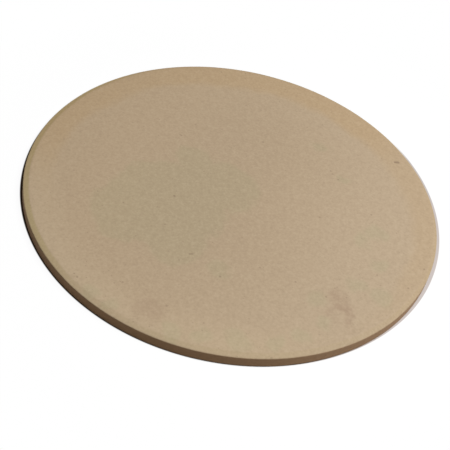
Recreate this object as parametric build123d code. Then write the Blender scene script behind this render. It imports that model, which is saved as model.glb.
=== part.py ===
from build123d import *

import os

# Pizza stone: one round slab of fired cordierite, pressed and sponged smooth.
# Millimetres. The origin is the centre of the underside, +Z points up through
# the baking face, and -Y is the side that the photograph shows nearest.

# Overall size of the slab
STONE_DIAMETER = 330.0
STONE_THICKNESS = 10.0

# Bevel, which falls from the flat baking face to the rim all the way round
BEVEL_WIDTH = 4.8
BEVEL_DROP = 1.25

# Roundings of the rim, as wiped with a sponge before firing
BEVEL_BLEND_RADIUS = 6.0
TOP_EDGE_RADIUS = 0.9
BOTTOM_EDGE_RADIUS = 1.0

# Angle of one whole turn
TURN_DEGREES = 360.0


def rim_section():
    """Draw the right half of the slab's upright section, from the axis out to the rim and back.

    The corners are where the flat runs would meet. Each is rounded by an arc that leaves both
    of its runs smoothly, so nothing between the baking face and the underside is sharp.
    """
    wall_radius = STONE_DIAMETER / 2
    face_middle = (0, STONE_THICKNESS)
    bevel_start = (wall_radius - BEVEL_WIDTH, STONE_THICKNESS)
    rim = (wall_radius, STONE_THICKNESS - BEVEL_DROP)
    foot = (wall_radius, 0)
    underside_middle = (0, 0)
    corners = [face_middle, bevel_start, rim, foot, underside_middle]
    roundings = [BEVEL_BLEND_RADIUS, TOP_EDGE_RADIUS, BOTTOM_EDGE_RADIUS]
    with BuildSketch(Plane.XZ) as section:
        with BuildLine():
            outline = FilletPolyline(*corners, radius=roundings)
            Line(outline @ 1, outline @ 0)
        make_face()
    return section.sketch


def baking_stone():
    """Turn the section once round the upright axis: the whole stone is one pressed piece."""
    with BuildPart() as stone:
        add(rim_section())
        revolve(axis=Axis.Z, revolution_arc=TURN_DEGREES)
    return stone.part


def write_parts(parts):
    """Write each piece to its own file and print its size and volume."""
    os.makedirs("parts", exist_ok=True)
    for name, solid in parts.items():
        export_step(solid, "parts/" + name + ".step")
        size = solid.bounding_box().size
        print(name, "size", round(size.X, 2), round(size.Y, 2), round(size.Z, 2), "volume", round(solid.volume))


write_parts({"baking_stone": baking_stone()})
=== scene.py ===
"""A pizza stone of unglazed fired cordierite, lying on a pale studio floor.

The slab is one pressed piece. Its size comes from the loaded frame, its rim section from the
values below, and its finish is worked out from places on the stone itself.
"""

import math

import bpy
from bpy.props import FloatProperty, FloatVectorProperty, IntProperty, PointerProperty
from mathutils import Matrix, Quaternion, Vector


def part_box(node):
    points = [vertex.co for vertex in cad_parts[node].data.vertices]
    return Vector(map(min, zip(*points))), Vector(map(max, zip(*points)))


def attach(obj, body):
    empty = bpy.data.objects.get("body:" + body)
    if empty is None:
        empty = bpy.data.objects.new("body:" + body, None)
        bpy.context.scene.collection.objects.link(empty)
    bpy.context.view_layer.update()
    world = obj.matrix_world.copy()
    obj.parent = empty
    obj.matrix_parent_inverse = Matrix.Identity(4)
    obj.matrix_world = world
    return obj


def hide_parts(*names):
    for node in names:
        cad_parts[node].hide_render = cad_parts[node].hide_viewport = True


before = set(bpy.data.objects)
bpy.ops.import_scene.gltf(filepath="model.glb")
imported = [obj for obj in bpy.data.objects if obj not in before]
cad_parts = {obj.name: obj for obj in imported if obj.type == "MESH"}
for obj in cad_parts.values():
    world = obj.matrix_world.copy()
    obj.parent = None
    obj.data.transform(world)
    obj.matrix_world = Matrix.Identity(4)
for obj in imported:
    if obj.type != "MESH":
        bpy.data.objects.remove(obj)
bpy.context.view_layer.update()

bl_info = {
    "name": "Pizza stone",
    "version": (1, 0, 0),
    "blender": (4, 5, 0),
    "location": "View3D > Sidebar > Stone",
    "description": "Shapes, finishes and stages a fired pizza stone",
    "category": "Object",
}

NODE = "baking_stone"
SLOT = "fired_cordierite"
SEED = 3
MM = 0.001
RAYS_THAT_SHOW = ("Is Camera Ray", "Is Glossy Ray", "Is Transmission Ray")
STONE_LOW, STONE_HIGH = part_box(NODE)
STONE_RADIUS = (STONE_HIGH.x - STONE_LOW.x) / 2
STONE_THICKNESS = STONE_HIGH.z - STONE_LOW.z

# Where the rim is palest and where the bevel is widest, turned from the right towards the back
PALE_SIDE = math.radians(241.0)
WIDE_SIDE = math.radians(235.0)

# The wrapped box: its face cells stop this many bevel widths short of the rim, its underside
# cells this many bottom roundings short of it, and each rounding of the section has its steps
FACE_INSET = 1.5
UNDERSIDE_INSET = 2
ROUNDING_STEPS = 12

# Pairs of numbers say where a rise or a fall begins and ends. Lowness is 0 at the top of the
# wrapped box and 1 at its bottom. A turn is 1 towards its side of the stone and -1 away from it.
FACE_LOWNESS = (0.0, 0.3)
WALL_TOP_LOWNESS = (0.1, 0.3)
WALL_FOOT_LOWNESS = (0.75, 0.95)
BEVEL_LOWNESS = (0.45, 0.6)
BEVEL_TURN = (-0.8, 0.4)

# The face is drawn out towards a smaller bevel over this many bevel widths
BEVEL_FADE = 3.5

# Levels of noise that count as a dip, as wander of the wall and as a flake, and how far flakes
# reach from the top edge
DIP_LEVELS = (0.3, 0.75)
WANDER_LEVELS = (0.3, 0.7)
FLAKE_LEVELS = (0.6, 0.72)
FLAKE_REACH = (0.2 * MM, 1.6 * MM)
FLAKE_RADIUS = (STONE_RADIUS - 3 * MM, STONE_RADIUS - 1 * MM)

# Noise: features in a metre, finer layers, and the strength of each next layer
DIP_NOISE = (14.0, 3.0, 0.45)
WANDER_NOISE = (30.0, 3.0, 0.5)
FLAKE_NOISE = (180.0, 2.0, 0.6)
DRIFT_NOISE = (11.0, 3.0, 0.5)
RAGGED_NOISE = (45.0, 3.0, 0.6)
SMEAR_NOISE = (120.0, 2.0, 0.6)
STREAK_NOISE = (300.0, 3.0, 0.65)
GRAIN_NOISE = (540.0, 2.0, 0.55)
MOTTLE_NOISE = (210.0, 2.0, 0.5)
RELIEF_NOISE = (480.0, 3.0, 0.6)

# Zones of the finish: across from the middle, away from the middle's run, out from the axis,
# turned to a side, and deep under the baking face
GREYER_ACROSS = (-100 * MM, 120 * MM)
CORE_AWAY = (5 * MM, 118 * MM)
FLASH_RADIUS = (140 * MM, 152 * MM)
FLASH_SIDE_TURN = (-1.0, 0.0)
FLASH_BACK_TURN = (0.5, 0.8)
FLASH_LEFT_ACROSS = (-0.4 * STONE_RADIUS, -0.75 * STONE_RADIUS)
PALE_RADIUS = (128 * MM, 156 * MM)
PALE_TURN = (0.3, 0.85)
BEVEL_DEPTH = (0.1 * MM, 0.3 * MM)
UNDER_BEVEL_DEPTH = (2 * MM, 4 * MM)
YELLOWER_ACROSS = (-0.5 * STONE_RADIUS, -0.85 * STONE_RADIUS)
WALL_RADIUS = (STONE_RADIUS - 1.6 * MM, STONE_RADIUS - 0.5 * MM)
WALL_DEPTH = (1.3 * MM, 1.9 * MM)
SPECK_DEPTH = (1.0 * MM, 1.6 * MM)
GRAIN_DEPTH = (1.2 * MM, 2.4 * MM)

# How far noise moves the edges of those zones, and how far the flash is drawn in at the back and
# at the left. Along the sides the flash has this share of its strength.
CORE_WANDER = 40 * MM
CLOUD_WANDER = 24 * MM
FLASH_WANDER = 14 * MM
PALE_WANDER = 10 * MM
SMEAR_WANDER = 3 * MM
FLASH_BACK_SHIFT = 8 * MM
FLASH_LEFT_SHIFT = 2 * MM
FLASH_SIDE_SHARE = 0.5

# Soft edges: of blots in millimetres, and of strokes, round specks and strewn specks in shares of
# their own half width
BLOT_EDGE = 3
STROKE_EDGE = (0.35, 1.45)
SPOT_EDGE = (0.3, 1.3)
STREWN_EDGE = (0.5, 1.6)

# Strewn specks: the spacing of their cells, how rare they are and how strongly they show, and
# the least half width of a speck with what chance may add to it, in millimetres
SMALL_SPECKS = (7 * MM, 0.45, 0.45)
FINE_SPECKS = (3.4 * MM, 0.5, 0.3)
STREWN_LEAST = 0.25
STREWN_MORE = 0.35

# Smudges: the softness where strokes meet, the streaks in them and how much smoother they are
SMUDGE_SOFTNESS = 0.1
STREAK_LEVELS = (0.25, 0.7)
STREAK_LEAST = 0.95
STREAK_MORE = 0.35
SMUDGE_SHEEN = 0.25

# Grain: the share of mottle in it, its dark and pale levels, the share of pale grains that the
# wall keeps, and the relief of grains and pits with the strength and depth of the bump
MOTTLE_SHARE = 0.35
DARK_LEVELS = (0.28, 0.52)
PALE_LEVELS = (0.48, 0.74)
WALL_PALE_SHARE = 0.4
GRAIN_RELIEF = 0.5
PIT_RELIEF = 1.5
BUMP_STRENGTH = 0.3
BUMP_DEPTH = 0.15 * MM

# Floor: its reach, corners and height, and on it the soft edge of the oval that shows its own
# colour, where that oval ends behind the stone, where painted shade darkens it at the stone's left,
# and where the stone's faint shadow ends, in shares of the oval
FLOOR_REACH = 6.0
FLOOR_CORNERS = 64
FLOOR_HEIGHT = -0.05 * MM
PAPER_EDGE = 0.4 * MM
PAPER_BEHIND = (0.60 * STONE_RADIUS, 0.85 * STONE_RADIUS)
SHADE_BESIDE = (-0.6 * STONE_RADIUS, -0.2 * STONE_RADIUS)
SHADOW_OUT = (1.1, 1.6)

# The middle of the face, drawn out towards back and front: from one place to another
CORE_RUN = (-10.0, -42.0, 8.0, 48.0)

# Olive cloud left of the middle, in six blots, and then small olive patches near the front, the
# right side and the back right: across and away from the middle, and half width, in millimetres
OLIVE_BLOTS = (
    (-48.0, -28.0, 48.0),
    (-70.0, -46.0, 34.0),
    (-9.0, 2.0, 29.0),
    (-37.0, 27.0, 15.0),
    (-78.0, -61.0, 20.0),
    (-32.0, -70.0, 23.0),
    (3.0, -87.0, 8.0),
    (115.0, -9.0, 9.0),
    (104.0, -20.0, 7.0),
    (120.0, -43.0, 8.0),
    (106.0, -71.0, 8.0),
    (124.0, -76.0, 8.0),
    (75.0, -92.0, 8.0),
    (84.0, -115.0, 6.0),
    (64.0, 78.0, 5.0),
    (89.0, 42.0, 5.0),
    (-83.0, -135.0, 6.0),
    (-68.0, -142.0, 6.0),
    (-22.0, -153.0, 7.0),
    (0.0, -152.0, 8.0),
    (25.0, -149.0, 8.0),
    (50.0, -141.0, 8.0),
    (70.0, -133.0, 7.0),
)

# Finger smudges. Each stroke runs from one place to another, in millimetres across and away
# from the middle of the baking face, and has a half width and a strength.
SMUDGES = (
    (91.0, -86.0, 96.0, -94.0, 9.0, 0.22),
    (88.5, -84.5, 91.0, -88.0, 4.6, 0.30),
    (92.0, -96.0, 99.0, -96.0, 4.2, 0.36),
    (99.0, -96.0, 101.5, -101.0, 3.8, 0.32),
    (102.5, -102.0, 100.5, -108.5, 3.2, 0.28),
    (101.5, -109.0, 103.0, -117.0, 4.2, 0.15),
    (89.0, -97.0, 85.0, -105.0, 3.2, 0.20),
    (92.0, -100.0, 92.0, -112.0, 5.0, 0.13),
    (91.0, -77.0, 90.0, -82.0, 3.2, 0.12),
    (-42.0, -138.0, -37.0, -139.0, 10.5, 0.23),
    (-43.0, -146.0, -34.0, -147.0, 8.5, 0.14),
    (-46.0, -134.0, -36.0, -132.5, 3.8, 0.20),
    (-38.0, -138.0, -32.0, -142.0, 4.2, 0.22),
    (-50.0, -140.0, -46.0, -145.0, 3.8, 0.20),
    (-44.0, -127.0, -38.0, -122.0, 5.0, 0.07),
)

# Long specks of iron, written in the same way
LONG_SPECKS = (
    (127.3, 83.5, 129.9, 84.0, 1.3, 0.62),
    (-22.0, -77.8, -19.8, -76.9, 0.7, 0.45),
    (-54.8, 54.8, -53.2, 53.8, 0.8, 0.32),
)

# Round specks and open pits: across and away from the middle and half width, in millimetres,
# and strength
ROUND_SPECKS = (
    (-44.9, -19.8, 1.1, 0.60),
    (73.8, 53.0, 0.9, 0.50),
    (75.8, 49.7, 0.8, 0.42),
    (80.9, 44.1, 1.0, 0.48),
    (-81.0, -40.0, 0.9, 0.46),
    (-45.6, -53.0, 0.8, 0.42),
    (3.8, -93.1, 1.0, 0.48),
    (59.0, -81.0, 0.9, 0.42),
    (14.0, 70.0, 1.0, 0.42),
    (110.8, 10.8, 1.0, 0.42),
    (-44.7, 72.2, 1.0, 0.36),
    (155.2, -36.9, 0.9, 0.48),
    (143.4, -60.9, 0.9, 0.48),
    (119.2, -54.7, 0.9, 0.42),
    (82.7, -88.8, 0.9, 0.42),
    (-94.8, -125.0, 0.9, 0.48),
    (-97.7, -122.4, 0.8, 0.42),
    (70.1, -6.0, 1.0, 0.34),
    (31.1, -75.0, 0.9, 0.36),
    (-63.0, -120.0, 1.0, 0.36),
    (-28.3, -132.4, 1.1, 0.36),
    (-102.7, -34.2, 0.8, 0.34),
    (50.6, -156.6, 1.0, 0.45),
)


def linear(red, green, blue):
    """Turn a colour as seen on screen, 0 to 255, into the linear colour that materials use."""
    channels = [channel / 255 for channel in (red, green, blue)]
    return [c / 12.92 if c <= 0.04045 else ((c + 0.055) / 1.055) ** 2.4 for c in channels]


class StoneSizes(bpy.types.PropertyGroup):
    """Sizes of the slab and of its hand-finished unevenness"""

    bevel_width: FloatProperty(
        name="Bevel Width",
        description="How far in from the rim the flat baking face ends",
        default=4.8 * MM, unit="LENGTH",
    )
    bevel_drop: FloatProperty(
        name="Bevel Drop",
        description="How far the bevel has fallen where it would meet the wall",
        default=1.25 * MM, unit="LENGTH",
    )
    bevel_least: FloatProperty(
        name="Bevel Least",
        description="How much of the bevel's size is left away from its wide side",
        default=0.45,
    )
    bevel_blend: FloatProperty(
        name="Bevel Blend",
        description="Radius of the soft bend between the baking face and the bevel",
        default=6.0 * MM, unit="LENGTH",
    )
    top_edge: FloatProperty(
        name="Top Edge",
        description="Rounding between the bevel and the wall",
        default=0.9 * MM, unit="LENGTH",
    )
    bottom_edge: FloatProperty(
        name="Bottom Edge",
        description="Rounding between the wall and the underside",
        default=1.0 * MM, unit="LENGTH",
    )
    face_steps: IntProperty(
        name="Face Steps",
        description="Cells across the baking face, which is also a quarter of those round the rim",
        default=180,
    )
    rim_steps: IntProperty(
        name="Rim Steps",
        description="Rows of cells from the baking face over the rim to the underside",
        default=40,
    )
    face_waver: FloatProperty(
        name="Face Waver",
        description="How deep the shallow dips in the pressed face are",
        default=0.08 * MM, unit="LENGTH",
    )
    wall_waver: FloatProperty(
        name="Wall Waver",
        description="How far the wall wanders inside its round",
        default=0.12 * MM, unit="LENGTH",
    )
    chip_depth: FloatProperty(
        name="Chip Depth",
        description="How deep the small chips along the top edge go",
        default=0.35 * MM, unit="LENGTH",
    )


class StoneFinish(bpy.types.PropertyGroup):
    """Colours and surface of the fired ceramic"""

    face_colour: FloatVectorProperty(
        name="Face",
        description="Fired tan of the baking face's left half",
        subtype="COLOR", default=linear(182.9, 160.5, 130.9),
    )
    greyer_colour: FloatVectorProperty(
        name="Greyer Side",
        description="The same tan where it is a little greyer, on the right half",
        subtype="COLOR", default=linear(182.2, 161.5, 134.3),
    )
    core_colour: FloatVectorProperty(
        name="Core",
        description="Slightly darker tan in the middle of the face",
        subtype="COLOR", default=linear(176.8, 155.6, 127.6),
    )
    cloud_tint: FloatVectorProperty(
        name="Cloud Tint",
        description="Tint of the faint olive cloud left of the middle",
        subtype="COLOR", default=(0.952, 1.0, 0.972),
    )
    flash_colour: FloatVectorProperty(
        name="Rim Flash",
        description="Ochre that the kiln leaves along the back of the rim and down its sides",
        subtype="COLOR", default=linear(182.8, 157.5, 123.3),
    )
    pale_colour: FloatVectorProperty(
        name="Pale Rim",
        description="Paler, dry-looking tan along the front and left of the rim",
        subtype="COLOR", default=linear(187.9, 166.3, 136.5),
    )
    bevel_tint: FloatVectorProperty(
        name="Bevel Tint",
        description="Tint that the bevel gets from handling",
        subtype="COLOR", default=(0.968, 0.972, 0.93),
    )
    left_bevel_tint: FloatVectorProperty(
        name="Left Bevel Tint",
        description="Tint of the bevel at the left, where it is yellower",
        subtype="COLOR", default=(0.95, 0.965, 0.79),
    )
    wall_colour: FloatVectorProperty(
        name="Wall",
        description="Browner tan of the rough wall",
        subtype="COLOR", default=linear(163.7, 130.8, 100.2),
    )
    stain_colour: FloatVectorProperty(
        name="Stain",
        description="Reddish brown of the finger smudges",
        subtype="COLOR", default=linear(139.9, 109.4, 86.7),
    )
    speck_colour: FloatVectorProperty(
        name="Speck",
        description="Dark brown of the specks and of the deepest grains",
        subtype="COLOR", default=linear(119, 96, 74),
    )
    sand_colour: FloatVectorProperty(
        name="Sand",
        description="Pale sand of the lightest grains",
        subtype="COLOR", default=linear(205, 186, 158),
    )
    dark_grain: FloatProperty(
        name="Dark Grain",
        description="How strongly the darkest grains show",
        default=0.125,
    )
    pale_grain: FloatProperty(
        name="Pale Grain",
        description="How strongly the palest grains show",
        default=0.195,
    )
    roughness: FloatProperty(
        name="Roughness",
        description="Roughness of the unglazed surface",
        default=0.9,
    )


class StageLook(bpy.types.PropertyGroup):
    """Floor, lamp, air and camera"""

    lens: FloatProperty(
        name="Lens",
        description="Focal length of the camera, in millimetres",
        default=85.0,
    )
    elevation: FloatProperty(
        name="Elevation",
        description="Height of the camera above the horizon",
        subtype="ANGLE", default=math.radians(41.9),
    )
    distance: FloatProperty(
        name="Distance",
        description="From the middle of the rim's circle to the camera",
        default=0.8434, unit="LENGTH",
    )
    aim: FloatVectorProperty(
        name="Aim",
        description="Place that the camera looks at, across and away from the middle",
        size=2, default=(-1.33 * MM, -37.69 * MM), unit="LENGTH",
    )
    aim_height: FloatProperty(
        name="Aim Height",
        description="Height of the aimed-at place and of the middle of the rim's circle",
        default=8.75 * MM, unit="LENGTH",
    )
    roll: FloatProperty(
        name="Roll",
        description="Lean of the camera, which lowers the stone's right side in the picture",
        subtype="ANGLE", default=math.radians(12.963),
    )
    key_azimuth: FloatProperty(
        name="Key Azimuth",
        description="Direction of the key lamp, turned from the right towards the back",
        subtype="ANGLE", default=math.radians(-6.0),
    )
    key_elevation: FloatProperty(
        name="Key Elevation",
        description="Height of the key lamp above the horizon",
        subtype="ANGLE", default=math.radians(64.0),
    )
    key_distance: FloatProperty(
        name="Key Distance",
        description="From the stone to the key lamp",
        default=1.39, unit="LENGTH",
    )
    key_size: FloatProperty(
        name="Key Size",
        description="Width of the key lamp's square softbox",
        default=0.5, unit="LENGTH",
    )
    key_share: FloatProperty(
        name="Key Share",
        description="Light that the key gives to the baking face, where 1 shows colours as written",
        default=0.95,
    )
    sky_share: FloatProperty(
        name="Sky Share",
        description="Light that comes from all round",
        default=0.05,
    )
    floor_bounce: FloatVectorProperty(
        name="Floor Bounce",
        description="Colour that the floor gives to the light it throws back at the stone",
        subtype="COLOR", default=(0.47, 0.43, 0.36),
    )
    paper_colour: FloatVectorProperty(
        name="Paper",
        description="Colour of the floor close to the stone, where a sliver of it shows",
        subtype="COLOR", default=(0.53, 0.488, 0.472),
    )
    paper_middle: FloatVectorProperty(
        name="Paper Middle",
        description="Middle of the oval of floor that shows its own colour",
        size=2, default=(0.91 * MM, 6.66 * MM), unit="LENGTH",
    )
    paper_reach: FloatVectorProperty(
        name="Paper Reach",
        description="Half width and half depth of that oval",
        size=2, default=(168.8 * MM, 171.9 * MM), unit="LENGTH",
    )
    paper_turn: FloatProperty(
        name="Paper Turn",
        description="Turn of that oval, seen from above",
        subtype="ANGLE", default=math.radians(-11.56),
    )
    # Painted shade: a darker floor colour under the rim's shaded side, on top of the real contact
    # shadow there
    painted_shade_colour: FloatVectorProperty(
        name="Paper in Shade",
        description="Colour of the floor under the rim's shaded side, where little light comes in",
        subtype="COLOR", default=(0.26, 0.18, 0.11),
    )
    floor_white: FloatProperty(
        name="Floor White",
        description="How white the floor past that oval is in its shadowed share; 1 is plain white",
        default=1.12,
    )
    plain_share: FloatProperty(
        name="Plain Share",
        description="How much of the floor past that oval is plain white and takes no shadow",
        default=0.96,
    )


class Wire:
    """One output of a node. Operators on it add Math nodes, so shader maths reads as maths."""

    def __init__(self, graph, socket):
        self.graph = graph
        self.socket = socket

    def math(self, operation, *others):
        """Add a Math node that starts from this wire."""
        inputs = dict(enumerate((self, *others)))
        return self.graph.node("ShaderNodeMath", inputs, operation=operation)

    def clamped(self):
        """Keep this number between 0 and 1."""
        return self.graph.node("ShaderNodeClamp", {"Value": self})

    def vector(self, operation, *others, output="Vector"):
        """Add a Vector Math node that starts from this wire. Its output Value is a number."""
        inputs = dict(enumerate((self, *others)))
        return self.graph.node("ShaderNodeVectorMath", inputs, output, operation=operation)

    def scaled(self, factor):
        """Multiply this vector by a number."""
        inputs = {"Vector": self, "Scale": factor}
        return self.graph.node("ShaderNodeVectorMath", inputs, operation="SCALE")

    def rise(self, start, end):
        """Ease from 0 at start to 1 at end, flat outside them."""
        inputs = {"Value": self, "From Min": start, "From Max": end}
        return self.graph.node("ShaderNodeMapRange", inputs, interpolation_type="SMOOTHSTEP")

    def fall(self, start, end):
        """Ease from 1 at start to 0 at end, flat outside them."""
        return self.rise(end, start)

    def parts(self):
        """Split a vector into its three numbers."""
        split = self.graph.node("ShaderNodeSeparateXYZ", {"Vector": self})
        return [Wire(self.graph, socket) for socket in split.socket.node.outputs]

    def __add__(self, other):
        return self.math("ADD", other)

    def __radd__(self, other):
        return self.math("ADD", other)

    def __sub__(self, other):
        return self.math("SUBTRACT", other)

    def __rsub__(self, other):
        return (self * -1).math("ADD", other)

    def __mul__(self, other):
        return self.math("MULTIPLY", other)

    def __rmul__(self, other):
        return self.math("MULTIPLY", other)

    def __truediv__(self, other):
        return self.math("DIVIDE", other)

    def __pow__(self, other):
        return self.math("POWER", other)


class Graph:
    """One node tree, of a material, of the world or of Geometry Nodes."""

    def __init__(self, tree):
        self.tree = tree
        tree.nodes.clear()

    def node(self, kind, inputs=None, output=0, items=0, **settings):
        """Add a node of any kind: its settings, its extra items, then its sockets."""
        node = self.tree.nodes.new(kind)
        for name, value in settings.items():
            setattr(node, name, value)
        for _ in range(items):
            node.index_switch_items.new()
        for key, value in (inputs or {}).items():
            if isinstance(value, Wire):
                self.tree.links.new(value.socket, node.inputs[key])
            else:
                node.inputs[key].default_value = value
        return Wire(self, node.outputs[output]) if node.outputs else node

    def vector(self, across, away, up):
        """Join three numbers into a vector."""
        return self.node("ShaderNodeCombineXYZ", {"X": across, "Y": away, "Z": up})

    def noise(self, place, scale, detail, roughness, seed=0.0, output="Fac"):
        """Add noise that runs from about 0 to 1 with its middle at a half."""
        inputs = {"Vector": place, "W": seed, "Scale": scale}
        inputs |= {"Detail": detail, "Roughness": roughness}
        return self.node("ShaderNodeTexNoise", inputs, output, noise_dimensions="4D")

    def blend(self, share, first, second, how="MIX"):
        """Mix two colours."""
        inputs = {"Factor": share, "A": first, "B": second}
        return self.node("ShaderNodeMix", inputs, "Result", data_type="RGBA", blend_type=how)

    def tint(self, share, colour, tint):
        """Multiply a colour by a tint, by a share."""
        return self.blend(share, colour, tint, "MULTIPLY")

    def pick(self, index, values, kind):
        """Choose one of several values by a number. The node has two items to begin with."""
        inputs = {"Index": index, **dict(enumerate(values, start=1))}
        return self.node("GeometryNodeIndexSwitch", inputs, items=len(values) - 2, data_type=kind)

    def mix_surfaces(self, share, first, second):
        """Mix two surfaces."""
        return self.node("ShaderNodeMixShader", dict(enumerate((share, first, second))))

    def looks(self):
        """Tell whether a ray is the camera's own, mirrored, or let through."""
        light = self.node("ShaderNodeLightPath").socket.node
        return [Wire(self, light.outputs[name]) for name in RAYS_THAT_SHOW]


def rgba(colour):
    """Add full cover to a colour."""
    return (*colour, 1.0)


def turned_slab_tree():
    """Build the rule that wraps a box of even cells on to the stone's turned section."""
    tree = bpy.data.node_groups.new("Turned slab", "GeometryNodeTree")
    graph = Graph(tree)
    numbers = ["Radius", "Thickness", "Bevel Width", "Bevel Drop", "Bevel Least", "Bevel Blend"]
    numbers += ["Top Edge", "Bottom Edge", "Face Waver", "Wall Waver", "Chip Depth"]
    for name in numbers:
        tree.interface.new_socket(name, in_out="INPUT", socket_type="NodeSocketFloat")
    for name in ("Face Steps", "Rim Steps", "Seed"):
        tree.interface.new_socket(name, in_out="INPUT", socket_type="NodeSocketInt")
    tree.interface.new_socket("Material", in_out="INPUT", socket_type="NodeSocketMaterial")
    tree.interface.new_socket("Stone", in_out="OUTPUT", socket_type="NodeSocketGeometry")
    first = graph.node("NodeGroupInput")
    given = {socket.name: Wire(graph, socket) for socket in first.socket.node.outputs}

    section = slab_section(graph, given)
    box_steps = given["Face Steps"] + 1
    inputs = {"Size": (2, 2, 2), "Vertices X": box_steps, "Vertices Y": box_steps}
    inputs["Vertices Z"] = given["Rim Steps"] + 1
    box = graph.node("GeometryNodeMeshCube", inputs)
    place = wrapped_place(graph, given, section)
    slab = graph.node("GeometryNodeSetPosition", {"Geometry": box, "Position": place["position"]})
    dent = worn_depth(graph, given, place)
    inward = graph.node("GeometryNodeInputNormal").scaled(dent * -1)
    slab = graph.node("GeometryNodeSetPosition", {"Geometry": slab, "Offset": inward})
    slab = graph.node("GeometryNodeSetShadeSmooth", {"Geometry": slab})
    slab = graph.node("GeometryNodeRealizeInstances", {"Geometry": slab})
    slab = graph.node("GeometryNodeSetMaterial", {"Geometry": slab, "Material": given["Material"]})
    graph.node("NodeGroupOutput", {"Stone": slab})
    return tree


def slab_section(graph, given):
    """Draw half of the upright section: face, bevel, wall and underside, with rounded corners."""
    radius = given["Radius"]
    bevel_start = radius - given["Bevel Width"]
    rim_height = given["Thickness"] - given["Bevel Drop"]
    corners = [
        graph.vector(0, 0, given["Thickness"]),
        graph.vector(bevel_start, 0, given["Thickness"]),
        graph.vector(radius, 0, rim_height),
        graph.vector(radius, 0, 0),
        graph.vector(0, 0, 0),
    ]
    roundings = [0, given["Bevel Blend"], given["Top Edge"], given["Bottom Edge"], 0]
    index = graph.node("GeometryNodeInputIndex")
    line = graph.node("GeometryNodeMeshLine", {"Count": len(corners)})
    curve = graph.node("GeometryNodeMeshToCurve", {"Mesh": line})
    place = graph.pick(index, corners, "VECTOR")
    curve = graph.node("GeometryNodeSetPosition", {"Geometry": curve, "Position": place})
    rounding = graph.pick(index, roundings, "FLOAT")
    inputs = {"Curve": curve, "Count": ROUNDING_STEPS, "Radius": rounding}
    return graph.node("GeometryNodeFilletCurve", inputs, mode="POLY")


def wrapped_place(graph, given, section):
    """Work out where each point of the box goes: its way along the section, and its turn.

    A square ring of the box becomes a round ring of the stone, so the face has no pole. The
    box's top is the baking face, its sides are the rim and its bottom is the underside.
    """
    box_x, box_y, box_z = graph.node("GeometryNodeInputPosition").parts()
    ring = box_x.math("ABSOLUTE").math("MAXIMUM", box_y.math("ABSOLUTE"))
    lowness = (1 - box_z) / 2
    whole = graph.node("GeometryNodeCurveLength", {"Curve": section})
    face_run = given["Radius"] - given["Bevel Width"] * FACE_INSET
    under_run = given["Radius"] - given["Bottom Edge"] * UNDERSIDE_INSET
    rim_run = whole - face_run - under_run
    way = face_run * ring + lowness * (rim_run + (1 - ring) * (face_run + under_run))
    inputs = {"Curves": section, "Length": way}
    settings = {"mode": "LENGTH", "use_all_curves": True}
    at = graph.node("GeometryNodeSampleCurve", inputs, "Position", **settings)
    out, _, up = at.parts()
    eighth = math.pi / 4
    turn_x = (box_x / ring * eighth).math("TANGENT")
    turn_y = (box_y / ring * eighth).math("TANGENT")
    direction = graph.vector(turn_x, turn_y, 0).vector("NORMALIZE")
    leaned_out, leaned_up = leaned_bevel(given, direction, lowness, out, up)
    position = direction.scaled(leaned_out).vector("ADD", graph.vector(0, 0, leaned_up))
    return {
        "position": position,
        "direction": direction,
        "lowness": lowness,
        "out": out,
        "up": up,
    }


def leaned_bevel(given, direction, lowness, out, up):
    """Make the bevel smaller away from its wide side, at the same slope, and the wall taller."""
    wide_side = (math.cos(WIDE_SIDE), math.sin(WIDE_SIDE), 0)
    toward = direction.vector("DOT_PRODUCT", wide_side, output="Value")
    least, width, drop = given["Bevel Least"], given["Bevel Width"], given["Bevel Drop"]
    share = least + (1 - least) * toward.rise(*BEVEL_TURN)
    inward = given["Radius"] - out
    near_bevel = inward.fall(width, width * BEVEL_FADE)
    moved = inward.math("MINIMUM", width) * (1 - share) * near_bevel * lowness.fall(*BEVEL_LOWNESS)
    down = given["Thickness"] - up
    stretch = (given["Thickness"] - drop * share) / (given["Thickness"] - drop)
    leaned_down = down.math("MINIMUM", drop) * share + (down - drop).math("MAXIMUM", 0.0) * stretch
    return out + moved, given["Thickness"] - leaned_down


def worn_depth(graph, given, place):
    """Work out how far each point sits inside the true section: dips, wander and small chips."""
    here = place["direction"].scaled(place["out"])
    lowness, seed = place["lowness"], given["Seed"]
    above = lowness.fall(*FACE_LOWNESS)
    dips = graph.noise(here, *DIP_NOISE, seed=seed).rise(*DIP_LEVELS)
    rim_place = place["direction"].scaled(given["Radius"])
    wander = graph.noise(rim_place, *WANDER_NOISE, seed=seed).rise(*WANDER_LEVELS)
    on_wall = lowness.rise(*WALL_TOP_LOWNESS) * lowness.fall(*WALL_FOOT_LOWNESS)
    from_edge = (given["Thickness"] - given["Bevel Drop"] - place["up"]).math("ABSOLUTE")
    at_edge = from_edge.fall(*FLAKE_REACH) * place["out"].rise(*FLAKE_RADIUS)
    flakes = graph.noise(rim_place, *FLAKE_NOISE, seed=seed).rise(*FLAKE_LEVELS)
    worn = given["Face Waver"] * dips * above + given["Wall Waver"] * wander * on_wall
    return worn + given["Chip Depth"] * flakes * at_edge


def measured_places(graph):
    """Measure a point of the stone: from the middle, under the face, and towards two sides."""
    place = graph.node("ShaderNodeTexCoord", output="Object")
    across, away, up = place.parts()
    radius = (across * across + away * away).math("SQRT")
    left, front = math.cos(PALE_SIDE), math.sin(PALE_SIDE)
    return {
        "place": place,
        "flat": graph.vector(across, away, 0.0),
        "across": across,
        "radius": radius,
        "depth": STONE_THICKNESS - up,
        "to_back": away / radius,
        "to_pale_side": (across * left + away * front) / radius,
    }


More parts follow.
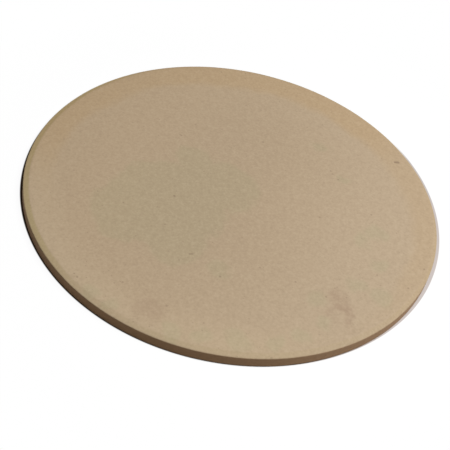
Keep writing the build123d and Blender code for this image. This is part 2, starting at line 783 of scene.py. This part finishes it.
def kiln_colour(graph, finish, at):
    """Colour the pressed clay as the kiln left it: middle, cloud, ochre flash and pale side."""
    across, radius, to_back = at["across"], at["radius"], at["to_back"]
    drift = graph.noise(at["place"], *DRIFT_NOISE) - 0.5
    face, greyer = rgba(finish.face_colour), rgba(finish.greyer_colour)
    colour = graph.blend(across.rise(*GREYER_ACROSS), face, greyer)
    from_core = away_from_run(graph, at["flat"], CORE_RUN) + drift * CORE_WANDER
    colour = graph.blend(from_core.fall(*CORE_AWAY), colour, rgba(finish.core_colour))
    ragged = graph.noise(at["place"], *RAGGED_NOISE) - 0.5
    aside = graph.vector(ragged, ragged * -1, 0).scaled(CLOUD_WANDER)
    ragged_place = at["flat"].vector("ADD", aside)

    far_left = across.rise(*FLASH_LEFT_ACROSS)
    reach = radius + to_back * FLASH_BACK_SHIFT + ragged * FLASH_WANDER
    reach = reach + far_left * FLASH_LEFT_SHIFT
    full = to_back.rise(*FLASH_BACK_TURN).math("MAXIMUM", far_left)
    full = full * (1 - FLASH_SIDE_SHARE) + FLASH_SIDE_SHARE
    flash = to_back.rise(*FLASH_SIDE_TURN) * full * reach.rise(*FLASH_RADIUS)
    colour = graph.blend(flash, colour, rgba(finish.flash_colour))

    pale = (radius + ragged * PALE_WANDER).rise(*PALE_RADIUS) * at["to_pale_side"].rise(*PALE_TURN)
    colour = graph.blend(pale, colour, rgba(finish.pale_colour))
    cloud = strongest([blot_cover(ragged_place, blot) for blot in OLIVE_BLOTS])
    return graph.tint(cloud, colour, rgba(finish.cloud_tint))


def rim_colour(graph, finish, at, colour):
    """Darken the handled bevel a little and brown the wall."""
    depth = at["depth"]
    bevel = depth.rise(*BEVEL_DEPTH) * depth.fall(*UNDER_BEVEL_DEPTH)
    yellower = at["across"].rise(*YELLOWER_ACROSS)
    handled = graph.blend(yellower, rgba(finish.bevel_tint), rgba(finish.left_bevel_tint))
    colour = graph.tint(bevel, colour, handled)
    on_wall = depth.rise(*WALL_DEPTH) * at["radius"].rise(*WALL_RADIUS)
    return graph.blend(on_wall, colour, rgba(finish.wall_colour))


def away_from_run(graph, place, run):
    """Measure how far a point is from the straight run between two places, in metres."""
    start_x, start_y, end_x, end_y = run
    start = Vector((start_x, start_y, 0)) * MM
    run = Vector((end_x, end_y, 0)) * MM - start
    from_start = place.vector("SUBTRACT", tuple(start))
    share_of_run = tuple(run / run.length_squared)
    along = from_start.vector("DOT_PRODUCT", share_of_run, output="Value")
    inputs = {"Vector": tuple(run), "Scale": along.clamped()}
    nearest = graph.node("ShaderNodeVectorMath", inputs, operation="SCALE")
    return nearest.vector("DISTANCE", from_start, output="Value")


def away_from_spot(place, middle_x, middle_y):
    """Measure how far a point is from the middle of a spot, in metres."""
    return place.vector("DISTANCE", (middle_x * MM, middle_y * MM, 0), output="Value")


def stroke_cover(graph, place, stroke):
    """Cover one stroke: its strength along the middle, easing to nothing past its half width."""
    *run, half_width, strength = stroke
    away = away_from_run(graph, place, run)
    return away.fall(*[edge * half_width * MM for edge in STROKE_EDGE]) * strength


def blot_cover(place, blot):
    """Cover one round blot evenly, with a soft edge."""
    *middle, half_width = blot
    away = away_from_spot(place, *middle)
    return away.fall((half_width - BLOT_EDGE) * MM, (half_width + BLOT_EDGE) * MM)


def spot_cover(place, spot):
    """Cover one round spot: its strength in the middle, easing to nothing past its half width."""
    *middle, half_width, strength = spot
    away = away_from_spot(place, *middle)
    return away.fall(*[edge * half_width * MM for edge in SPOT_EDGE]) * strength


def strongest(covers, softness=0.0):
    """Keep the stronger cover where two meet, and round the seam between them by the softness."""
    whole = covers[0]
    for cover in covers[1:]:
        if softness:
            whole = whole.math("SMOOTH_MAX", cover, softness)
        else:
            whole = whole.math("MAXIMUM", cover)
    return whole


def strewn_specks(graph, place, spacing, rarity, strength):
    """Strew small specks: one at most in each cell, of its own size, and none in most cells."""
    inputs = {"Vector": place, "Scale": 1 / spacing, "Randomness": 1.0}
    cells = graph.node("ShaderNodeTexVoronoi", inputs).socket.node
    from_speck = Wire(graph, cells.outputs["Distance"])
    chance, size, _ = Wire(graph, cells.outputs["Color"]).parts()
    half_width = (size * STREWN_MORE + STREWN_LEAST) * (MM / spacing)
    return (from_speck / half_width).fall(*STREWN_EDGE) * chance.rise(rarity, 1.0) * strength


def smudge_cover(graph, at):
    """Cover the finger smudges: soft strokes with a wandering edge and faint streaks."""
    three_noises = graph.noise(at["place"], *SMEAR_NOISE, output="Color")
    wobble = three_noises.vector("SUBTRACT", (0.5, 0.5, 0.5))
    wobble = wobble.vector("MULTIPLY", (SMEAR_WANDER, SMEAR_WANDER, 0.0))
    smeared = at["flat"].vector("ADD", wobble)
    strokes = [stroke_cover(graph, smeared, stroke) for stroke in SMUDGES]
    streaks = graph.noise(at["place"], *STREAK_NOISE).rise(*STREAK_LEVELS)
    return strongest(strokes, SMUDGE_SOFTNESS) * (streaks * STREAK_MORE + STREAK_LEAST)


def stone_material(finish):
    """Unglazed fired ceramic: kiln-toned tan, brown wall, sandy grain, specks, pits and smudges."""
    material = bpy.data.materials.new(SLOT)
    material.use_nodes = True
    graph = Graph(material.node_tree)
    at = measured_places(graph)
    place = at["place"]
    colour = rim_colour(graph, finish, at, kiln_colour(graph, finish, at))

    on_top = at["depth"].fall(*SPECK_DEPTH)
    smudge = smudge_cover(graph, at) * on_top
    colour = graph.blend(smudge, colour, rgba(finish.stain_colour))

    grains = graph.noise(place, *GRAIN_NOISE)
    sandy = grains + (graph.noise(place, *MOTTLE_NOISE) - 0.5) * MOTTLE_SHARE
    kept = at["depth"].fall(*GRAIN_DEPTH) * (1 - WALL_PALE_SHARE) + WALL_PALE_SHARE
    dark = sandy.fall(*DARK_LEVELS) * finish.dark_grain
    pale = sandy.rise(*PALE_LEVELS) * kept * finish.pale_grain
    colour = graph.blend(dark, colour, rgba(finish.speck_colour))
    colour = graph.blend(pale, colour, rgba(finish.sand_colour))

    known = [stroke_cover(graph, at["flat"], stroke) for stroke in LONG_SPECKS]
    known += [spot_cover(at["flat"], spot) for spot in ROUND_SPECKS]
    strewn = [strewn_specks(graph, place, *kind) for kind in (SMALL_SPECKS, FINE_SPECKS)]
    specks = strongest([strongest(known) * on_top, *strewn])
    colour = graph.blend(specks, colour, rgba(finish.speck_colour))

    height = graph.noise(place, *RELIEF_NOISE) + grains * GRAIN_RELIEF - specks * PIT_RELIEF
    inputs = {"Strength": BUMP_STRENGTH, "Distance": BUMP_DEPTH, "Height": height}
    normal = graph.node("ShaderNodeBump", inputs)
    rough = finish.roughness - smudge * SMUDGE_SHEEN
    inputs = {"Base Color": colour, "Roughness": rough, "Normal": normal}
    surface = graph.node("ShaderNodeBsdfPrincipled", inputs)
    graph.node("ShaderNodeOutputMaterial", {"Surface": surface})
    return material


def plain_mesh_from(tree, name, values):
    """Run a tree with its named values and keep the result as a plain mesh object."""
    piece = bpy.data.objects.new(name, bpy.data.meshes.new(name))
    bpy.context.scene.collection.objects.link(piece)
    modifier = piece.modifiers.new("Rule", "NODES")
    modifier.node_group = tree
    for item in tree.interface.items_tree:
        if item.in_out == "INPUT":
            modifier[item.identifier] = values[item.name]
    bpy.context.view_layer.update()
    depsgraph = bpy.context.evaluated_depsgraph_get()
    mesh = bpy.data.meshes.new_from_object(piece.evaluated_get(depsgraph), depsgraph=depsgraph)
    mesh.name = name
    piece.modifiers.clear()
    piece.data = mesh
    return piece


class STONE_OT_slab(bpy.types.Operator):
    """Shape the stone's slab, finish it and put it in the frame's place"""

    bl_idname = "stone.slab"
    bl_label = "Make the Stone"

    def execute(self, context):
        sizes = context.scene.stone_sizes
        values = {
            "Radius": STONE_RADIUS,
            "Thickness": STONE_THICKNESS,
            "Bevel Width": sizes.bevel_width,
            "Bevel Drop": sizes.bevel_drop,
            "Bevel Least": sizes.bevel_least,
            "Bevel Blend": sizes.bevel_blend,
            "Top Edge": sizes.top_edge,
            "Bottom Edge": sizes.bottom_edge,
            "Face Waver": sizes.face_waver,
            "Wall Waver": sizes.wall_waver,
            "Chip Depth": sizes.chip_depth,
            "Face Steps": sizes.face_steps,
            "Rim Steps": sizes.rim_steps,
            "Seed": SEED,
            "Material": stone_material(context.scene.stone_finish),
        }
        slab = plain_mesh_from(turned_slab_tree(), "stone_slab", values)
        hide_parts(NODE)
        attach(slab, "root")
        return {"FINISHED"}


def floor_material(stage):
    """Pale floor: its own colour in an oval round the stone's front, with painted shade at the
    stone's left, almost plain white past it.

    Only the camera sees that white. To the stone the floor is a soft bounce, and a camera below
    looks through it.
    """
    material = bpy.data.materials.new("studio_floor")
    material.use_nodes = True
    graph = Graph(material.node_tree)
    camera, mirrored, through = graph.looks()
    place = graph.node("ShaderNodeTexCoord", output="Object")
    inputs = {"Vector": place, "Location": (*stage.paper_middle, 0)}
    inputs["Rotation"] = (0, 0, stage.paper_turn)
    across, away, _ = graph.node("ShaderNodeMapping", inputs, vector_type="TEXTURE").parts()
    reach_x, reach_y = stage.paper_reach
    out = ((across / reach_x) ** 2 + (away / reach_y) ** 2).math("SQRT")
    soft = PAPER_EDGE / reach_x
    beside, behind, _ = place.parts()
    paper = out.fall(1 - soft, 1 + soft) * behind.fall(*PAPER_BEHIND)
    # Painted shade: the oval's colour darkens towards the stone's left, deepening the real contact
    # shadow
    shaded = beside.fall(*SHADE_BESIDE)
    paper_colour = graph.blend(shaded, rgba(stage.paper_colour), rgba(stage.painted_shade_colour))
    shown = graph.blend(paper, rgba([stage.floor_white] * 3), paper_colour)
    clearly = mirrored.math("MAXIMUM", through)
    thrown = graph.blend(clearly, rgba(stage.floor_bounce), rgba((1, 1, 1)))
    surface = graph.node("ShaderNodeBsdfDiffuse", {"Color": graph.blend(camera, thrown, shown)})
    plain = graph.node("ShaderNodeEmission", {"Color": rgba((1, 1, 1)), "Strength": 1.0})
    plain_share = stage.plain_share + (1 - stage.plain_share) * out.rise(*SHADOW_OUT)
    unshaded = (1 - paper) * plain_share
    surface = graph.mix_surfaces(unshaded * camera, surface, plain)
    below = graph.node("ShaderNodeNewGeometry", output="Backfacing")
    clear = graph.node("ShaderNodeBsdfTransparent")
    surface = graph.mix_surfaces(below * camera, surface, clear)
    graph.node("ShaderNodeOutputMaterial", {"Surface": surface})
    return material


def lay_floor(stage):
    """Lay a wide round floor just under the stone."""
    turns = [math.tau * number / FLOOR_CORNERS for number in range(FLOOR_CORNERS)]
    level = [(FLOOR_REACH * math.cos(turn), FLOOR_REACH * math.sin(turn)) for turn in turns]
    points = [(*place, FLOOR_HEIGHT) for place in level]
    mesh = bpy.data.meshes.new("studio_floor")
    mesh.from_pydata(points, [], [list(range(FLOOR_CORNERS))])
    mesh.materials.append(floor_material(stage))
    floor = bpy.data.objects.new("studio_floor", mesh)
    bpy.context.scene.collection.objects.link(floor)


def direction(azimuth, elevation):
    """Point from the stone, with azimuth turned from the right towards the back."""
    level = math.cos(elevation)
    return Vector((level * math.cos(azimuth), level * math.sin(azimuth), math.sin(elevation)))


def hang_key(stage):
    """Hang one square softbox so that it lights the baking face by its share.

    A softbox of pi squared watts, straight above and a metre away, shows a colour as written.
    """
    toward = direction(stage.key_azimuth, stage.key_elevation)
    lamp = bpy.data.lights.new("key_softbox", "AREA")
    lamp.shape = "SQUARE"
    lamp.size = stage.key_size
    lamp.energy = math.pi**2 * stage.key_distance**2 * stage.key_share / toward.z
    holder = bpy.data.objects.new("key_softbox", lamp)
    holder.location = toward * stage.key_distance
    holder.rotation_euler = toward.to_track_quat("Z", "Y").to_euler()
    bpy.context.scene.collection.objects.link(holder)


def light_world(stage):
    """Show white all round to the camera and light the stone from all round by a small share."""
    world = bpy.data.worlds.new("studio_air")
    world.use_nodes = True
    graph = Graph(world.node_tree)
    camera, mirrored, through = graph.looks()
    seen = camera.math("MAXIMUM", mirrored).math("MAXIMUM", through)
    strength = seen * (1 - stage.sky_share) + stage.sky_share
    air = graph.node("ShaderNodeBackground", {"Color": rgba((1, 1, 1)), "Strength": strength})
    graph.node("ShaderNodeOutputWorld", {"Surface": air})
    bpy.context.scene.world = world


def place_camera(stage):
    """Stand the camera in front of the stone, raised, aimed and leaning as the picture shows it."""
    lens = bpy.data.cameras.new("camera")
    lens.lens = stage.lens
    camera = bpy.data.objects.new("camera", lens)
    rim_middle = Vector((0, 0, stage.aim_height))
    camera.location = rim_middle + direction(-math.pi / 2, stage.elevation) * stage.distance
    target = rim_middle + Vector((*stage.aim, 0))
    level = (camera.location - target).to_track_quat("Z", "Y")
    camera.rotation_mode = "QUATERNION"
    camera.rotation_quaternion = level @ Quaternion((0, 0, 1), stage.roll)
    bpy.context.scene.collection.objects.link(camera)
    bpy.context.scene.camera = camera


class STONE_OT_stage(bpy.types.Operator):
    """Set up the floor, the lamp, the air and the camera"""

    bl_idname = "stone.stage"
    bl_label = "Make the Stage"

    def execute(self, context):
        stage = context.scene.stone_stage
        lay_floor(stage)
        hang_key(stage)
        light_world(stage)
        place_camera(stage)
        context.scene.view_settings.view_transform = "Standard"
        return {"FINISHED"}


class STONE_PT_maker(bpy.types.Panel):
    """Lists the makers and the values that they use"""

    bl_idname = "STONE_PT_maker"
    bl_label = "Pizza Stone"
    bl_space_type = "VIEW_3D"
    bl_region_type = "UI"
    bl_category = "Stone"

    def draw(self, context):
        for group in [getattr(context.scene, name) for name in GROUPS]:
            box = self.layout.box()
            for name in group.__annotations__:
                box.prop(group, name)
        for maker in MAKERS:
            self.layout.operator(maker.bl_idname)


GROUPS = {"stone_sizes": StoneSizes, "stone_finish": StoneFinish, "stone_stage": StageLook}
MAKERS = (STONE_OT_slab, STONE_OT_stage)


def register():
    """Add the value groups, the makers and the panel."""
    for kind in (*GROUPS.values(), *MAKERS, STONE_PT_maker):
        bpy.utils.register_class(kind)
    for name, kind in GROUPS.items():
        setattr(bpy.types.Scene, name, PointerProperty(type=kind))


def unregister():
    """Take away what register added."""
    for name in GROUPS:
        delattr(bpy.types.Scene, name)
    for kind in reversed((*GROUPS.values(), *MAKERS, STONE_PT_maker)):
        bpy.utils.unregister_class(kind)


def main():
    """Make the stone and its stage."""
    register()
    bpy.ops.stone.slab()
    bpy.ops.stone.stage()


if __name__ == "__main__":
    main()
